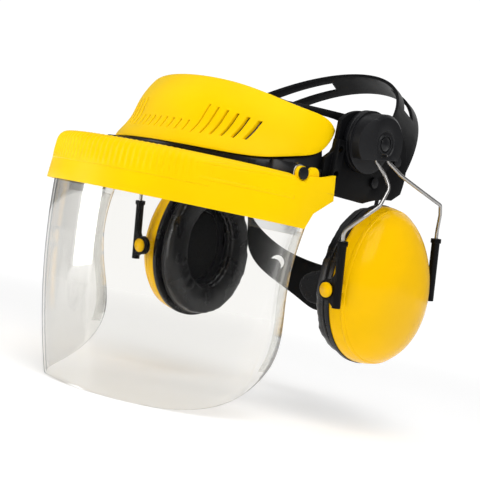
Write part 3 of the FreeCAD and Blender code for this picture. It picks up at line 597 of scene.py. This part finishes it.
def screen_edges():
    """Thickened band along each rear edge of the screen."""
    low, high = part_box("visor_screen")
    surface = surface_of(nodes["visor_screen"])
    top, bottom = high.z - 14 * MM, low.z + 30 * MM
    rows, columns, width, blur = 60, 6, 7.0 * MM, 4
    outside, step, margin = 120 * MM, 0.25 * MM, 0.3 * MM
    heights = [top + (bottom - top) * i / (rows - 1) for i in range(rows)]

    def edge_at(z, sign):
        """Depth of the screen's rear edge at a height, found by rays from outside it."""
        y = high.y
        while surface.ray_cast(Vector((sign * outside, y, z)), Vector((-sign, 0, 0)))[0] is None:
            y -= step
        return y - margin

    def height(i, j):
        return (0.3 * smooth_step(columns - 1 - j, 0, 1) + 0.05) * MM

    for side, sign in SIDES.items():
        across = Vector((-sign, 0, 0))
        edge = [edge_at(z, sign) for z in heights]
        rays = []
        for i, z in enumerate(heights):
            reach = min(blur, i, rows - 1 - i)
            near = edge[i - reach:i + reach + 1]
            y = min(edge[i], sum(near) / len(near))
            starts = [Vector((sign * outside, y - width * j / (columns - 1), z)) for j in range(columns)]
            rays.append([(start, across) for start in starts])
        raised("screen_edge_" + side, "edge", "visor", rays, surface, height, 0.1 * MM)


def ring_bead(name, key, side, surface, centre, x, half_width, rise, sunk, rows, inwards):
    """Rounded bead in a plane of constant x round a muff, on walls met by rays to or from its centre.

    Rise is the bead's height in mm at its borders, and what its middle adds.
    """
    columns = 7
    start, way = (OUTSIDE_MUFF, -1) if inwards else (0.0, 1)
    rays = []
    for i in range(rows):
        a = 2 * math.pi * i / rows
        outwards = Vector((0, math.sin(a), math.cos(a)))
        row = []
        for j in range(columns):
            away = x + SIDES[side] * half_width * (2 * j / (columns - 1) - 1)
            row.append((Vector((away, centre.y, centre.z)) + outwards * start, outwards * way))
        rays.append(row)

    def height(i, j):
        return (rise[0] + rise[1] * math.sin(math.pi * j / (columns - 1))) * MM

    raised(name, key, "muff_" + side, rays, surface, height, sunk, ring=True)


def cup_beads():
    """Moulded step round each cup, a little outboard of the studs."""
    step_out = 9.4 * MM
    for side, sign in SIDES.items():
        low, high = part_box("cup_shell_" + side)
        rim = min(abs(low.x), abs(high.x))
        ring_bead("cup_bead_" + side, "cup", side, surface_of(nodes["cup_shell_" + side]), (low + high) / 2,
                  sign * (rim + step_out), 1.3 * MM, (0.04, 0.3), 0.15 * MM, rows=180, inwards=True)


# ------------------------------------------------------------------ floor, light and camera

# soft boxes: azimuth, elevation (degrees), distance, width and height (shares of the size), watts
LAMPS = {
    "key": (58, 42, 2.4, 1.5, 2.0, 5.2),
    "fill": (-60, 35, 2.6, 1.6, 2.0, 0.4),
    "sheet": (-33, -3, 1.05, 0.36, 1.1, 0.78),
    "top": (30, 80, 2.6, 2.0, 2.6, 3.6),
    "back": (190, 35, 2.8, 1.6, 2.0, 1.1),
}
WORLD_LIGHT = 0.24
WORLD_SEEN = 1.05
FLOOR_LIFT = 0.34


def studio():
    """Pale floor, white surroundings that light little, and soft boxes."""
    low, high = cad_box
    size = (high - low).length
    centre = (low + high) / 2
    mesh = bpy.data.meshes.new("floor")
    half = size * 8
    corners = [(x * half, y * half, low.z) for x, y in ((-1, -1), (1, -1), (1, 1), (-1, 1))]
    mesh.from_pydata(corners, [], [(0, 1, 2, 3)])
    floor = bpy.data.objects.new("floor", mesh)
    bpy.context.scene.collection.objects.link(floor)
    floor.data.materials.append(floor_material(centre, size))
    world = bpy.data.worlds.new("studio")
    bpy.context.scene.world = world
    world.use_nodes = True
    tree = world.node_tree
    tree.nodes.clear()
    seen = tree.nodes.new("ShaderNodeLightPath")
    back = tree.nodes.new("ShaderNodeBackground")
    back.inputs["Color"].default_value = (1, 1, 1, 1)
    level = tree.nodes.new("ShaderNodeMapRange")
    level.inputs[3].default_value = WORLD_LIGHT
    level.inputs[4].default_value = WORLD_SEEN
    tree.links.new(seen.outputs["Is Camera Ray"], level.inputs[0])
    tree.links.new(level.outputs[0], back.inputs["Strength"])
    output = tree.nodes.new("ShaderNodeOutputWorld")
    tree.links.new(back.outputs[0], output.inputs["Surface"])
    for name in LAMPS:
        lamp(name, centre, size)


def floor_material(centre, size):
    """Pale matte floor that fades into the white surroundings, and is see-through from below."""
    g = Graph("pale_floor")
    place = g.place()
    away = g.add("VectorMath", out="Value", options={"operation": "DISTANCE"}, n0=place,
                 n1=(centre.x, centre.y, cad_box[0].z))
    fade = g.ramp(away, size * 0.7, size * 2.2)
    speck = g.ramp(g.noise(place, 300, 3), 0.3, 0.7, 0.88, 0.92)
    matte = g.add("BsdfDiffuse", Color=g.add("CombineColor", n0=speck, n1=speck, n2=speck))
    lift = g.add("AddShader", n0=matte, n1=g.add("Emission", Color=(1, 1, 1, 1), Strength=FLOOR_LIFT))
    glow = g.add("Emission", Color=(1, 1, 1, 1), Strength=WORLD_SEEN)
    top = g.add("MixShader", n0=fade, n1=lift, n2=glow)
    below = g.add("NewGeometry", out="Backfacing")
    return g.finish(g.add("MixShader", n0=below, n1=top, n2=g.add("BsdfTransparent")))


def lamp(name, centre, size):
    """Soft box facing the object; azimuth 0 is in front of it and 90 at its left."""
    azimuth, elevation, distance, width, height, power = LAMPS[name]
    a, e = math.radians(azimuth), math.radians(elevation)
    away = Vector((math.sin(a) * math.cos(e), -math.cos(a) * math.cos(e), math.sin(e)))
    data = bpy.data.lights.new(name, "AREA")
    data.energy = power
    data.shape = "RECTANGLE"
    data.size = size * width
    data.size_y = size * height
    light = bpy.data.objects.new(name, data)
    light.location = centre + away * (size * distance)
    light.rotation_mode = "QUATERNION"
    light.rotation_quaternion = (-away).to_track_quat("-Z", "Y")
    bpy.context.scene.collection.objects.link(light)


def camera():
    """Long lens at the object's left front, level with it and rolled so that the visor leans back."""
    azimuth, elevation, roll = (math.radians(a) for a in (44.41, 0.41, 11.81))
    back = Vector((math.sin(azimuth) * math.cos(elevation), -math.cos(azimuth) * math.cos(elevation),
                   math.sin(elevation)))
    right = Vector((math.cos(azimuth), math.sin(azimuth), 0))
    up = back.cross(right)
    rolled_right = right * math.cos(roll) + up * math.sin(roll)
    rolled_up = up * math.cos(roll) - right * math.sin(roll)
    data = bpy.data.cameras.new("camera")
    data.lens = 99.4
    data.sensor_width = 36
    data.clip_start = 0.01
    eye = bpy.data.objects.new("camera", data)
    eye.rotation_mode = "QUATERNION"
    eye.rotation_quaternion = Matrix((rolled_right, rolled_up, back)).transposed().to_quaternion()
    eye.location = (0.5882, -0.6008, -0.0661)
    bpy.context.scene.collection.objects.link(eye)
    bpy.context.scene.camera = eye
    bpy.context.scene.view_settings.view_transform = "Standard"


dress_cad_nodes()
frame_ribs()
frame_beads()
screen_edges()
cup_beads()
soft_parts()
studio()
camera()
